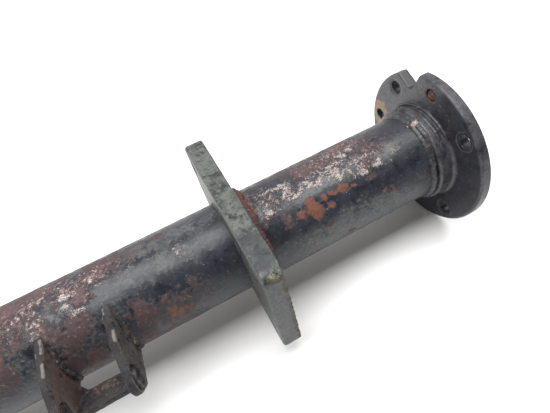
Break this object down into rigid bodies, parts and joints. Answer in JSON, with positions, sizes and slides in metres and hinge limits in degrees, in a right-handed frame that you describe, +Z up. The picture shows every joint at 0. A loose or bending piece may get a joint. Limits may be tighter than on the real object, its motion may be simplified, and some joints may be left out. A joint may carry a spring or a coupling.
{
  "type": "grain auger drive shaft housing",
  "caption": "Welded tubular drive-shaft housing of a grain auger: end flange with a rim notch, square-cut mounting plate, two-eared bracket, and a shaft turning on two ball bearings.",
  "frame": {"origin": "centre of the end flange's outer face, on the tube axis", "axes": "+X along the tube axis and out of the end flange, +Z up and square to the long sides of the mounting plate, -Y towards the two-eared bracket"},
  "size_m": [0.694, 0.1867, 0.1672],
  "materials": {
    "rusted_black_paint": "worn black paint over maroon rust",
    "satin_black_paint": "satin black paint, scuffed edges",
    "grey_plate_steel": "dull grey-green worn steel edge",
    "rusted_bracket_paint": "worn black paint over brown rust",
    "weld_metal": "painted weld bead, partly rusted",
    "rust": "brown rust",
    "turned_steel": "turned and oiled",
    "bearing_steel": "ground and polished",
    "bright_steel": "plain steel",
    "cage_brass": "satin",
    "seal_rubber": "matt"
  },
  "bodies": {
    "housing": {"clevis_bush_flange_side": "bright_steel", "clevis_bush_tail_side": "bright_steel", "clevis_ear_flange_side": "rusted_bracket_paint", "clevis_ear_tail_side": "rusted_bracket_paint", "clevis_web": "rusted_bracket_paint", "clevis_welds_flange_side": "weld_metal", "clevis_welds_tail_side": "weld_metal", "end_flange": "satin_black_paint", "flange_bearing_outer_race": "bearing_steel", "flange_bearing_shield": "bright_steel", "flange_bore_snap_ring": "bright_steel", "flange_garter_spring": "bright_steel", "flange_hub_weld": "weld_metal", "flange_seal_case": "bright_steel", "flange_seal_lip": "seal_rubber", "housing_tube": "rusted_black_paint", "mounting_plate": "grey_plate_steel", "plate_weld_flange_side": "weld_metal", "plate_weld_tail_side": "weld_metal", "sheared_stud": "rust", "tail_bearing_outer_race": "bearing_steel", "tail_bearing_shield": "bright_steel", "tail_bore_snap_ring": "bright_steel", "tail_garter_spring": "bright_steel", "tail_hub": "rusted_black_paint", "tail_hub_weld": "weld_metal", "tail_seal_case": "bright_steel", "tail_seal_lip": "seal_rubber"},
    "shaft": {"drive_shaft": "turned_steel", "flange_bearing_inner_race": "bearing_steel", "flange_shaft_snap_ring": "bright_steel", "tail_bearing_inner_race": "bearing_steel", "tail_shaft_snap_ring": "bright_steel"},
    "flange_ball_set": {"flange_bearing_balls": "bearing_steel", "flange_bearing_cage": "cage_brass"},
    "tail_ball_set": {"tail_bearing_balls": "bearing_steel", "tail_bearing_cage": "cage_brass"}
  },
  "joints": [
    {"name": "shaft_spin", "type": "hinge", "parent": "housing", "child": "shaft", "pos_m": [-0.3, 0, 0], "axis": [1, 0, 0], "continuous": true},
    {"name": "flange_ball_set_spin", "type": "hinge", "parent": "housing", "child": "flange_ball_set", "pos_m": [-0.0211, 0, 0], "axis": [1, 0, 0], "continuous": true},
    {"name": "tail_ball_set_spin", "type": "hinge", "parent": "housing", "child": "tail_ball_set", "pos_m": [-0.5669, 0, 0], "axis": [1, 0, 0], "continuous": true}
  ],
  "couplings": [
    {"joint": "flange_ball_set_spin", "follows": "shaft_spin", "ratio": 0.3962},
    {"joint": "tail_ball_set_spin", "follows": "shaft_spin", "ratio": 0.3962}
  ]
}
